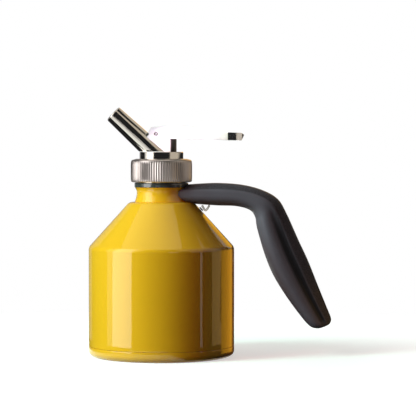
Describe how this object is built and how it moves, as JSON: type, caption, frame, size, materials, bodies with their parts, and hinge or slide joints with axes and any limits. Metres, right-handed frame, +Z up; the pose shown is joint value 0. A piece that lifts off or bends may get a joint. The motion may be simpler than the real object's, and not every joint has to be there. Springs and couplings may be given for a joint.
{
  "type": "safety dispensing can",
  "caption": "Steel safety can with a flat base and conical shoulder, a screw-on tap head with a thumb lever, sprung valve and slanted spout, and a pistol handle.",
  "frame": {"origin": "middle of the flat underside of the base, on the can's axis", "axes": "+Z up along the can's axis, +X towards the handle and the lever's nose, -X towards the spout, +Y to the left of someone who faces the handle side"},
  "size_m": [0.2006, 0.12, 0.2048],
  "materials": {
    "yellow_paint": "glossy powder coat",
    "bright_nickel": "polished nickel plate",
    "satin_nickel": "satin nickel plate, straight knurl",
    "stainless": "satin stainless steel",
    "brass": "turned brass",
    "seal_rubber": "black fuel-proof rubber",
    "black_plastic": "fine-grained moulded plastic"
  },
  "bodies": {
    "can": {"can_shell": "yellow_paint", "base_pan": "yellow_paint", "neck": "yellow_paint", "threaded_neck": "bright_nickel", "neck_ring": "seal_rubber", "handle_grip": "black_plastic", "handle_core": "stainless", "handle_stay": "stainless", "stay_stud": "stainless"},
    "gasket": {"neck_gasket": "seal_rubber"},
    "head": {"valve_head": "bright_nickel", "spout": "bright_nickel", "lever_bracket": "stainless", "lever_pin": "stainless", "stem_guide": "brass", "stem_seal": "seal_rubber", "return_spring": "stainless", "flame_arrester": "stainless"},
    "nut": {"union_nut": "satin_nickel"},
    "lever": {"lever": "stainless"},
    "stem": {"valve_stem": "stainless", "spring_washer": "stainless", "retaining_clip": "stainless", "valve_disc": "brass", "valve_gasket": "seal_rubber", "valve_nut": "brass"}
  },
  "joints": [
    {"name": "head_lift", "type": "slide", "parent": "can", "child": "gasket", "axis": [0, 0, 1], "range_m": [0, 0.06]},
    {"name": "head_swivel", "type": "hinge", "parent": "gasket", "child": "head", "pos_m": [0, 0, 0.1586], "axis": [0, 0, 1], "continuous": true},
    {"name": "nut_turn", "type": "hinge", "parent": "head", "child": "nut", "pos_m": [0, 0, 0.1434], "axis": [0, 0, 1], "continuous": true},
    {"name": "lever_press", "type": "hinge", "parent": "head", "child": "lever", "pos_m": [-0.0044, 0, 0.1832], "axis": [0, 1, 0], "range_deg": [0, 14.2], "stiffness_Nm_per_rad": 0.3, "springref_deg": -11.46},
    {"name": "stem_slide", "type": "slide", "parent": "head", "child": "stem", "axis": [0, 0, -1], "range_m": [0, 0.0037], "deforming": ["return_spring"]}
  ],
  "couplings": [
    {"joint": "stem_slide", "follows": "lever_press", "m_per_rad": 0.0146}
  ]
}
